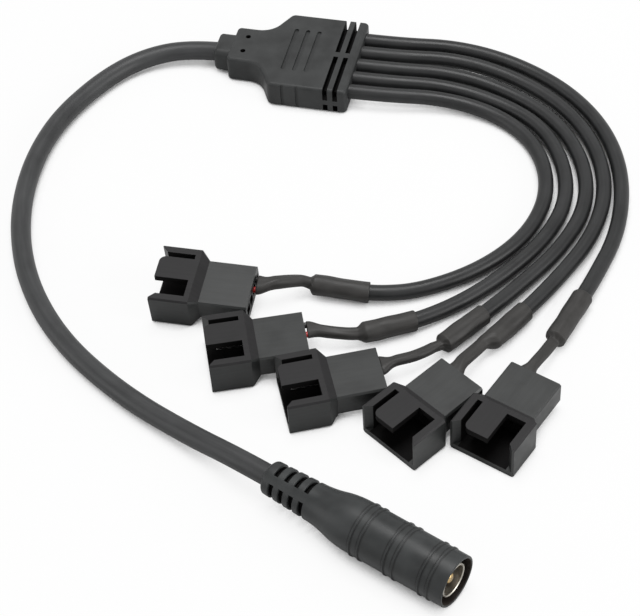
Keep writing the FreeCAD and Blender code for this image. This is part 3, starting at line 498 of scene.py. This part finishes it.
mainRoute = [
    (-14.4, 0.0, 3.2), (-24.9, 0.0, 3.2), (-35.8, -5.1, 2.5), (-43.0, -14.8, 2.2),
    (-48.4, -29.0, 2.2), (-49.3, -44.5, 2.2), (-46.2, -61.0, 2.2), (-38.6, -77.5, 2.2),
    (-26.3, -92.0, 2.2), (-9.5, -103.3, 2.2), (6.5, -110.9, 3.1), (17.846, -116.37, 5.4),
    (27.143, -120.316, 5.4),
]
branchRoutes = [
    [(13.0, -8.9, 3.8), (22.0, -8.9, 3.8), (35.5, -6.3, 2.8), (47.3, -7.9, 1.7), (56.2, -14.0, 1.7),
     (61.6, -23.0, 1.7), (63.4, -34.0, 1.7), (60.4, -46.0, 1.7), (52.6, -56.6, 1.7), (42.0, -64.2, 1.7),
     (33.5, -67.05, 2.15), (27.0, -67.2, 2.4), (22.0, -67.3, 2.6)],
    [(13.0, -4.45, 3.8), (22.0, -4.45, 3.8), (35.5, -2.2, 2.8), (48.5, -4.5, 1.7), (58.6, -10.4, 1.7),
     (65.2, -20.8, 1.7), (67.8, -33.0, 1.7), (64.8, -45.5, 1.7), (58.0, -57.2, 1.7), (50.6, -66.2, 1.7),
     (43.76, -72.35, 2.2), (39.2, -75.05, 2.4), (34.9, -77.6, 2.6)],
    [(13.0, 0.0, 3.8), (22.0, 0.0, 3.8), (36.5, 2.3, 2.8), (50.0, -0.6, 1.7), (61.6, -8.0, 1.7),
     (69.3, -19.5, 1.7), (72.2, -33.0, 1.7), (68.6, -47.0, 1.7), (61.6, -59.5, 1.7), (55.9, -68.9, 2.2),
     (50.6, -77.0, 2.6)],
    [(13.0, 4.45, 3.8), (22.0, 4.45, 3.8), (37.0, 7.3, 2.8), (51.0, 4.2, 1.7), (62.8, -3.4, 1.7),
     (71.2, -14.2, 1.7), (75.6, -28.0, 1.7), (74.5, -42.5, 1.7), (69.0, -56.0, 1.7), (64.1, -66.2, 2.2),
     (59.9, -74.0, 2.6)],
    [(13.0, 8.9, 3.8), (22.0, 8.9, 3.8), (37.0, 11.6, 2.8), (52.0, 8.6, 1.7), (64.8, 0.4, 1.7),
     (73.8, -11.0, 1.7), (78.6, -24.5, 1.7), (79.6, -40.0, 1.7), (76.5, -54.6, 1.95), (73.9, -63.8, 2.35),
     (71.7, -71.4, 2.6)],
]


def smoothLine(name, route):
    # the route as one open NURBS spline of order 3 with no bevel, read back as points in metres
    points = np.array(route) * mm
    curve = bpy.data.curves.new(name, "CURVE")
    curve.dimensions = "3D"
    curve.resolution_u = cableSizes["steps"]
    spline = curve.splines.new("NURBS")
    spline.points.add(len(points) - 1)
    spline.points.foreach_set("co", np.column_stack([points, np.ones(len(points))]).ravel())
    spline.order_u = 3
    spline.use_endpoint_u = True
    holder = bpy.data.objects.new(name, curve)
    bpy.context.scene.collection.objects.link(holder)
    bpy.context.view_layer.update()
    drawn = holder.evaluated_get(bpy.context.evaluated_depsgraph_get())
    mesh = bpy.data.meshes.new_from_object(drawn)
    line = np.empty(len(mesh.vertices) * 3)
    mesh.vertices.foreach_get("co", line)
    bpy.data.objects.remove(holder)
    bpy.data.curves.remove(curve)
    bpy.data.meshes.remove(mesh)
    return line.reshape(-1, 3)


def unit(v):
    # v / its length
    return v / np.linalg.norm(v, axis=-1, keepdims=True)


def carry(line):
    # directions along a line: sideways is level and square to its slope, upward is square to both
    ahead = unit(np.gradient(line, axis=0))
    sideways = unit(np.cross(ahead, np.array([0.0, 0.0, 1.0])))
    return sideways, np.cross(sideways, ahead)


def lengthAlong(line):
    # the steps between points, added up from 0
    return np.concatenate([[0.0], np.cumsum(np.linalg.norm(np.diff(line, axis=0), axis=1))])


def skin(name, rings, paint, along):
    # a closed surface over rings[i, j]: quads between rings, and a fan over each end;
    # its map has u in metres along and v once round
    n, m, _ = rings.shape
    points = np.concatenate([rings.reshape(-1, 3), rings[:1].mean(1), rings[-1:].mean(1)])
    i, j = np.meshgrid(np.arange(n - 1), np.arange(m), indexing="ij")
    k = (j + 1) % m
    quads = np.stack([i * m + j, i * m + k, (i + 1) * m + k, (i + 1) * m + j], -1).reshape(-1, 4)
    a, b = np.arange(m), (np.arange(m) + 1) % m
    first = np.stack([b, a, np.full(m, n * m)], -1)
    last = np.stack([(n - 1) * m + a, (n - 1) * m + b, np.full(m, n * m + 1)], -1)
    mesh = bpy.data.meshes.new(name)
    mesh.from_pydata(points.tolist(), [], quads.tolist() + first.tolist() + last.tolist())
    mesh.polygons.foreach_set("use_smooth", np.ones(len(mesh.polygons), bool))
    u = np.concatenate([np.stack([along[i], along[i], along[i + 1], along[i + 1]], -1).ravel(),
                        np.repeat(along[0], 3 * m), np.repeat(along[-1], 3 * m)])
    v = np.concatenate([np.stack([j, j + 1, j + 1, j], -1).ravel() / m,
                        np.stack([a + 1, a, a], -1).ravel() / m,
                        np.stack([a, a + 1, a], -1).ravel() / m])
    mesh.uv_layers.new(name="wrap").data.foreach_set("uv", np.stack([u, v], -1).ravel())
    mesh.materials.append(paint)
    piece = bpy.data.objects.new(name, mesh)
    bpy.context.scene.collection.objects.link(piece)
    bm = bmesh.new()
    bm.from_mesh(mesh)
    bmesh.ops.recalc_face_normals(bm, faces=bm.faces)
    bm.to_mesh(mesh)
    bm.free()
    return piece


def roundTube(name, line, radius, paint):
    # a ring at every point: centre + radius * swell * (cos * sideways + sin * upward)
    sideways, upward = carry(line)
    turn = np.linspace(0, 2 * np.pi, cableSizes["round"], endpoint=False)
    along = lengthAlong(line)
    swell = 1 + sum(high * np.sin(along * pace + start) for high, pace, start in cableSizes["swell"])
    reach = (radius * swell)[:, None, None]
    rings = line[:, None] + reach * (np.cos(turn)[None, :, None] * sideways[:, None]
                                     + np.sin(turn)[None, :, None] * upward[:, None])
    return skin(name, rings, paint, along)


def dress(piece, node):
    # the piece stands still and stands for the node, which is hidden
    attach(piece, "root")
    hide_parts(node)
    return piece


shown = dict(nodes)                       # what stands for each node in the picture
cords = {}
# the main cable gets the lighter jacket copy, painted light
cableList = [("main_cable", mainRoute, cableSizes["main"], "feedJacketLit")]
for k, route in enumerate(branchRoutes):
    cableList.append(("branch_cable_%d" % (k + 1), route, cableSizes["branch"], "cableJacket"))
for name, route, size, paint in cableList:
    line = smoothLine(name + "_line", route)
    jacket = roundTube(name + "_jacket", line, size * mm / 2, paints[paint])
    shown[name] = dress(jacket, name)
    cords[name] = (jacket, line, size * mm)
print("cables laid:", len(cords))


# fan plugs: where each lies, as its solid does (millimetres, degrees)
plugLay = {
    "poses": [(-10.51, -74.37, 1.7, 5.6), (4.4, -90.95, 22.1, 0.0), (21.65, -98.25, 25.0, 0.0),
              (44.3, -104.85, 56.6, 0.0), (62.15, -104.05, 68.7, 0.0)],   # x, y, heading, roll
    "half": 6.7,                          # from the middle line to the edge that a rolled plug leans on
    "length": 20.0,
    "coreSide": 2.54,                     # middle of the two cores, beside the plug's middle line
    "coreLevel": 3.9,
}


def plugFrame(k):
    # turn = heading about z after roll about x; the lift keeps the lower edge on the table
    x, y, heading, roll = plugLay["poses"][k]
    h, r = radians(heading), radians(roll)
    about = np.array([[np.cos(h), -np.sin(h), 0], [np.sin(h), np.cos(h), 0], [0, 0, 1]])
    lean = np.array([[1, 0, 0], [0, np.cos(r), -np.sin(r)], [0, np.sin(r), np.cos(r)]])
    return about @ lean, np.array([x, y, plugLay["half"] * np.sin(abs(r))])


# heat-shrink sleeves, one for each branch (millimetres, degrees): run is the length over the cable, show
# the bare cores before the plug, neck and end the width and height there; rise and swing move the middle
# of the tail, twist rolls it and seed shifts its dents; close, gather and handles override sleeveSizes
sleeveShapes = [
    {"run": 11.4, "show": 0.45, "neck": (2.9, 2.8), "end": (4.4, 2.9), "rise": 0.55, "swing": 0.3,
     "twist": 60, "seed": 0.4},
    {"run": 10.5, "show": 0.6, "neck": (2.6, 2.4), "end": (4.2, 2.3), "rise": 0.1, "swing": 0.0,
     "twist": -40, "seed": 1.7, "close": 1.9, "gather": 0.02, "handles": (0.38, 0.12)},
    {"run": 11.3, "show": 0.3, "neck": (2.4, 2.2), "end": (4.8, 2.1), "rise": 0.0, "swing": 0.6,
     "twist": 30, "seed": 2.9},
    {"run": 10.3, "show": 0.3, "neck": (3.0, 2.6), "end": (4.3, 2.3), "rise": 0.1, "swing": 0.8,
     "twist": 50, "seed": 4.1, "close": 3.2, "gather": 0.012},
    {"run": 13.0, "show": 0.3, "neck": (2.4, 2.2), "end": (4.4, 2.2), "rise": 0.1, "swing": 0.0,
     "twist": -30, "seed": 5.5},
]
sleeveSizes = {
    "radius": 2.15,                       # of the run
    "rim": [(0.3, 1.62), (0.03, 1.66), (0.0, 1.99),    # rear edge: distance into the run, radius
            (0.03, 2.10), (0.11, 2.15), (0.24, 2.17)],
    "runFrom": 0.6, "runTo": 0.5,         # even rings of the run, from its rear and up to its front
    "runEnd": (0.3, 0.15, 0.05),          # last rings before the tail
    "past": 1.2,                          # the run goes on this far past the cable's end
    "handles": (0.38, 0.38),              # of the tail's curve, as parts of its gap
    "close": 1.15,                        # length in which the film draws in
    "spread": 3.2, "spreadPower": 1.4,    # length in which it spreads over the cores, and how late
    "bulge": (3.0, 4.0),                  # lengths in which rise and swing come and go
    "lip": [(0.06, 0.10), (0.02, 0.24), (-0.25, 0.30), (-0.9, 0.33)],   # tucked-in end: reach, inset
    "rings": 56,                          # corners of a ring
    "runSteps": 26, "tailSteps": 76, "tailPower": 1.25,   # rings along, closer where the tail starts
    "dent": 0.016,                        # depth of the dents, as part of the radius
    "dents": [(1.0, 2, 0.55, 1.0), (0.7, 3, -0.9, 2.1),   # part, waves round, pace along, of the seed
              (0.6, 1, 1.3, 3.3)],
    "gather": 0.045,                      # height of the gathers, as part of the radius
    "folds": 7, "uneven": 3,              # gathers round the sleeve, and how uneven they are
    "foldAt": 1.0, "foldReach": 0.9,      # where they lie beyond the run, and how far they reach
    "waist": 0.13, "waistReach": 0.42,    # the hollow between the two cores: depth and width
    "skew": 0.22, "skewReach": 1.5,       # the rear edge is cut a little askew
    "floorGap": 0.02,                     # a sleeve that touches the table is pressed flat there
}


def ease(x):
    # 0 to 1 with level ends: x * x * (3 - 2 * x)
    x = np.clip(x, 0, 1)
    return x * x * (3 - 2 * x)


def sleeveLine(k, s, z):
    # centre line: straight over the cable, then a cubic Bezier curve to the plug's cores; sideways turns
    # from the cable's level side to the plug's own; past = distance beyond the run
    route = np.array(branchRoutes[k])
    way = unit(route[-1] - route[-2])
    turn, origin = plugFrame(k)
    mouth = route[-1] + way * z["past"]
    cores = np.array([plugLay["length"] + s["show"], plugLay["coreSide"], plugLay["coreLevel"]])
    goal = turn @ cores + origin
    gap = np.linalg.norm(goal - mouth)
    near, far = s.get("handles", z["handles"])
    handA = mouth + way * near * gap
    handB = goal + turn[:, 0] * far * gap
    rim = [back for back, _ in z["rim"]]
    even = np.linspace(z["runFrom"], s["run"] - z["runTo"], z["runSteps"])
    back = np.concatenate([rim, even, s["run"] - np.array(z["runEnd"])])
    straight = mouth + way * (back - s["run"])[:, None]
    t = np.linspace(0, 1, z["tailSteps"]) ** z["tailPower"]
    w = 1 - t
    tail = (mouth * w[:, None] ** 3 + handA * (3 * w * w * t)[:, None]
            + handB * (3 * w * t * t)[:, None] + goal * t[:, None] ** 3)
    centre = np.concatenate([straight, tail])
    past = np.concatenate([np.zeros(len(back)), lengthAlong(tail)])
    part = np.concatenate([np.zeros(len(back)), t])[:, None]
    ahead = unit(np.gradient(centre[len(rim):], axis=0))
    ahead = np.concatenate([np.repeat(way[None], len(rim), 0), ahead])
    firstSide = unit(np.cross(way, [0.0, 0.0, 1.0]))
    lastSide = turn[:, 1] * np.sign(firstSide @ turn[:, 1])
    sideways = firstSide * (1 - part) + lastSide * part
    sideways = unit(sideways - ahead * (sideways * ahead).sum(1, keepdims=True))
    upward = np.cross(ahead, sideways)
    upward *= np.sign(upward[:, 2:])
    bulge = (ease(past / z["bulge"][0]) * ease((past[-1] - past) / z["bulge"][1]))[:, None]
    centre = centre + sideways * s["swing"] * bulge + np.array([0, 0, s["rise"]]) * bulge
    return centre, ahead, sideways, upward, past


def sleeveRings(k, s, z):
    # half width and half height ease from the run's radius to the neck and on to the end, times
    # 1 + dents + gathers; a waist lies between the two cores, and the ring is rolled by the twist
    centre, ahead, sideways, upward, past = sleeveLine(k, s, z)
    total = past[-1]
    drawn = ease(past / s.get("close", z["close"]))
    spread = ease((past - total + z["spread"]) / z["spread"]) ** z["spreadPower"]
    plain = np.full(len(centre), z["radius"])
    plain[:len(z["rim"])] = [radius for _, radius in z["rim"]]
    sizes = [plain + (s["neck"][n] / 2 - plain) * drawn for n in (0, 1)]
    sizes = [a + (s["end"][n] / 2 - a) * spread for n, a in enumerate(sizes)]
    lip = np.array(z["lip"])
    centre = np.concatenate([centre, centre[-1] + ahead[-1] * lip[:, :1]])
    sizes = [np.concatenate([a, a[-1] - lip[:, 1]])[:, None] for a in sizes]
    last = np.minimum(np.arange(len(centre)), len(past) - 1)      # the lip keeps the last directions
    ahead, sideways, upward = ahead[last], sideways[last], upward[last]
    past, drawn, spread = past[last, None], drawn[last, None], spread[last, None]

    angle = np.linspace(0, 2 * np.pi, z["rings"], endpoint=False)[None]
    along = lengthAlong(centre)[:, None]
    seed = s["seed"]
    dents = sum(size * np.sin(waves * angle + pace * along + shift * seed)
                for size, waves, pace, shift in z["dents"])
    fold = np.exp(-((past - z["foldAt"]) / z["foldReach"]) ** 2)
    gathers = fold * np.sin(z["folds"] * angle + z["uneven"] * np.sin(angle + seed) + seed)
    body = 1 + z["dent"] * dents + s.get("gather", z["gather"]) * gathers
    narrow = 1 - z["waist"] * drawn * np.exp(-(np.cos(angle) / z["waistReach"]) ** 2)
    wide = sizes[0] * np.cos(angle) * body
    high = sizes[1] * np.sin(angle) * body * narrow
    rolled = radians(s["twist"]) * drawn * (1 - spread) * (past / total - 1)
    across = wide * np.cos(rolled) - high * np.sin(rolled)
    over = wide * np.sin(rolled) + high * np.cos(rolled)
    askew = z["skew"] * np.cos(angle + seed) * np.exp(-along / z["skewReach"])
    rings = (centre[:, None] + across[..., None] * sideways[:, None] + over[..., None] * upward[:, None]
             + askew[..., None] * ahead[:, None])
    rings[..., 2] = np.maximum(rings[..., 2], z["floorGap"])
    return rings * mm, along[:, 0] * mm


for k, s in enumerate(sleeveShapes):
    rings, along = sleeveRings(k, s, sleeveSizes)
    node = "heatshrink_sleeve_%d" % (k + 1)
    film = skin(node + "_skin", rings, paints["heatShrink"], along)
    shown[node] = dress(film, node)
print("sleeves shrunk on:", len(sleeveShapes))


# moulded pieces: the solids' own shapes, each with a finish outside and others, mostly painted shade, in
# its recesses
mouldedLook = {
    "splitter_hub": {"slot": "moulded_pvc", "paints": ("mouldedPvc", "recessShade")},
    "jack_overmould": {"slot": "moulded_pvc", "paints": ("socketPvc", "recessShade", "socketBore")},
    "fan_housing": {"slot": "nylon_black", "paints": ("nylonBlack", "recessShade", "nylonMattShaded")},
}
mouldedMesh = {
    "merge": 2e-6,                        # metres within which corners are one
    "crease": 32,                         # degrees between two faces from which their edge is sharp
}

# where the recesses lie, most of them with painted shade, in millimetres: the hub's in the part's frame,
# the socket's by distance along and from its axis, the plugs' in each plug's own frame
hubRecess = {
    "slots": (9.95, 12.25), "slotHalf": 0.57, "side": 12.45,
    "dimples": ((-11.55, -2.5), (-11.55, 2.5)), "dimpleReach": 0.65,
    "top": 6.35,
}
jackRecess = {
    "mouthFrom": 29.9, "mouthReach": 4.74,
    "relief": (1.5, 11.0),                # the slotted part
    "skin": (3.4, 0.0408),                # its radius at the rear end, and growth along it
    "under": 0.42,                        # a slot's faces lie this far below its skin
}
plugRecess = {
    "mouth": (0.05, 8.75), "mouthSide": 5.4, "mouthLevel": (1.2, 6.56),
    "chamber": (8.75, 19.9), "chamberSide": 5.2, "chamberHalf": 1.3,
    "tongue": (-1.25, 4.25),
    "shroud": 10.0, "top": 5.0,           # the shroud ends here, and its matt top with painted shade starts here
    "square": 0.9, "level": 0.5,          # parts of a normal: a face is square on, or faces up
}


def mergedCopy(node):
    # a copy of the solid's mesh, its loose triangles merged at shared corners and smooth up to the crease
    mesh = nodes[node].data.copy()
    mesh.name = node + "_moulded"
    bm = bmesh.new()
    bm.from_mesh(mesh)
    bmesh.ops.remove_doubles(bm, verts=bm.verts, dist=mouldedMesh["merge"])
    bm.to_mesh(mesh)
    bm.free()
    if "custom_normal" in mesh.attributes:
        mesh.attributes.remove(mesh.attributes["custom_normal"])
    mesh.polygons.foreach_set("use_smooth", np.ones(len(mesh.polygons), bool))
    mesh.set_sharp_from_angle(angle=radians(mouldedMesh["crease"]))
    return mesh


def faceMiddles(mesh):
    # the middle of each face, in millimetres
    middles = np.empty(len(mesh.polygons) * 3)
    mesh.polygons.foreach_get("center", middles)
    return middles.reshape(-1, 3) / mm


def between(x, span):
    # inside a span, its ends left out
    return (x > span[0]) & (x < span[1])


def inHubRecess(p, z):
    # 1, painted shade, between the walls of a flexing slot or inside a dimple, and below the outer faces
    slot = (np.abs(p[:, :1] - np.array(z["slots"])) < z["slotHalf"]).any(1)
    slot &= np.abs(p[:, 1]) < z["side"]
    away = np.linalg.norm(p[:, None, :2] - np.array(z["dimples"]), axis=2)
    dimple = (away < z["dimpleReach"]).any(1)
    return (slot | dimple) & (p[:, 2] < z["top"])


def inJackRecess(p, z):
    # along = distance from the socket's rear end on its axis, out = distance from that axis;
    # 1 in a relief slot, where shade is painted, 2 in the mouth
    away = p - np.array(jackLay["back"])
    axis = jackAxis()
    along = away @ axis
    out = np.linalg.norm(away - along[:, None] * axis, axis=1)
    mouth = (along > z["mouthFrom"]) & (out < z["mouthReach"])
    skinAt = z["skin"][0] + z["skin"][1] * along
    slot = between(along, z["relief"]) & (out < skinAt - z["under"])
    return np.where(mouth, 2, slot.astype(int))


def inPlugRecess(p, n, z):
    # 1, painted shade, inside the mouth, on the walls of the top gaps and of the tongue, or inside a rear
    # chamber, with chamfered faces left out; 2 on the matt top of the shroud, which is also painted
    # darker as shade
    x, y, up = p.T
    hollow = between(x, z["mouth"]) & (np.abs(y) < z["mouthSide"])
    mouth = hollow & between(up, z["mouthLevel"])
    chamber = between(x, z["chamber"]) & (np.abs(y) < z["chamberSide"])
    chamber &= np.abs(up - plugLay["coreLevel"]) < z["chamberHalf"]
    gap = hollow | ((x < z["mouth"][1]) & between(y, z["tongue"]))
    gap &= (up > z["mouthLevel"][1]) & (np.abs(n[:, 2]) < z["level"])
    shadedFaces = gap | ((mouth | chamber) & (np.abs(n).max(1) > z["square"]))
    mattShadedTop = (x < z["shroud"]) & (up > z["top"]) & (n[:, 2] > z["level"])
    return np.where(shadedFaces, 1, 2 * mattShadedTop)


def mouldedPiece(node, mesh, s, places):
    # each face has the finish that its place says, 0 being the outside; normals are weighted by area
    mesh.materials.clear()
    for finish in s["paints"]:
        mesh.materials.append(paints[finish])
    mesh.polygons.foreach_set("material_index", places.astype(int))
    piece = bpy.data.objects.new(mesh.name, mesh)
    bpy.context.scene.collection.objects.link(piece)
    even = piece.modifiers.new("evenNormals", "WEIGHTED_NORMAL")
    even.keep_sharp = True
    return dress(piece, node)


def plugPlaces(mesh, k):
    # makes a map in metres from the plug's own frame, for the mould marks: u along the plug, and v across
    # the face it lies on; gives back each face's place
    turn, origin = plugFrame(k)
    points = np.empty(len(mesh.vertices) * 3)
    mesh.vertices.foreach_get("co", points)
    local = (points.reshape(-1, 3) / mm - origin) @ turn
    count = len(mesh.polygons)
    normals = np.empty(count * 3)
    totals = np.empty(count, int)
    corners = np.empty(len(mesh.loops), int)
    mesh.polygons.foreach_get("normal", normals)
    mesh.polygons.foreach_get("loop_total", totals)
    mesh.loops.foreach_get("vertex_index", corners)
    normals = normals.reshape(-1, 3) @ turn
    facing = np.abs(normals).argmax(1)
    own = np.repeat(np.arange(count), totals)
    u = np.where(facing == 0, 1, 0)[own]
    v = np.where(facing == 2, 1, 2)[own]
    flat = np.stack([local[corners, u], local[corners, v]], -1) * mm
    mesh.uv_layers.new(name="plugMap").data.foreach_set("uv", flat.ravel())
    return inPlugRecess((faceMiddles(mesh) - origin) @ turn, normals, plugRecess)


for node, inside, sizes in (("splitter_hub", inHubRecess, hubRecess),
                            ("jack_overmould", inJackRecess, jackRecess)):
    mesh = mergedCopy(node)
    shown[node] = mouldedPiece(node, mesh, mouldedLook[node], inside(faceMiddles(mesh), sizes))
for k in range(len(plugLay["poses"])):
    node = "fan_housing_%d" % (k + 1)
    mesh = mergedCopy(node)
    shown[node] = mouldedPiece(node, mesh, mouldedLook["fan_housing"], plugPlaces(mesh, k))
print("moulded pieces finished")


# finish of the carried-over solids
slotPaints = {
    "moulded_pvc": "mouldedPvc", "nylon_black": "nylonBlack", "heat_shrink": "heatShrink",
    "core_red": "coreRed", "core_black": "coreBlack", "nickel_plate": "nickelPlate",
    "brass_pin": "brassPin", "tin_plate": "tinPlate", "cable_jacket": "cableJacket",
}
for part in frame["record"]["subparts"]:
    mesh = nodes[part["node"]].data
    mesh.materials.clear()
    mesh.materials.append(paints[slotPaints[part["material_slot"]]])
print("solids painted:", len(nodes))


# the free cords, each read back as jacket, line and diameter; nothing further is done with them
jacket, line, dia = cords["main_cable"]
for k in range(1, len(branchRoutes) + 1):
    jacket, line, dia = cords["branch_cable_%d" % k]
print("cords declared:", len(cords))
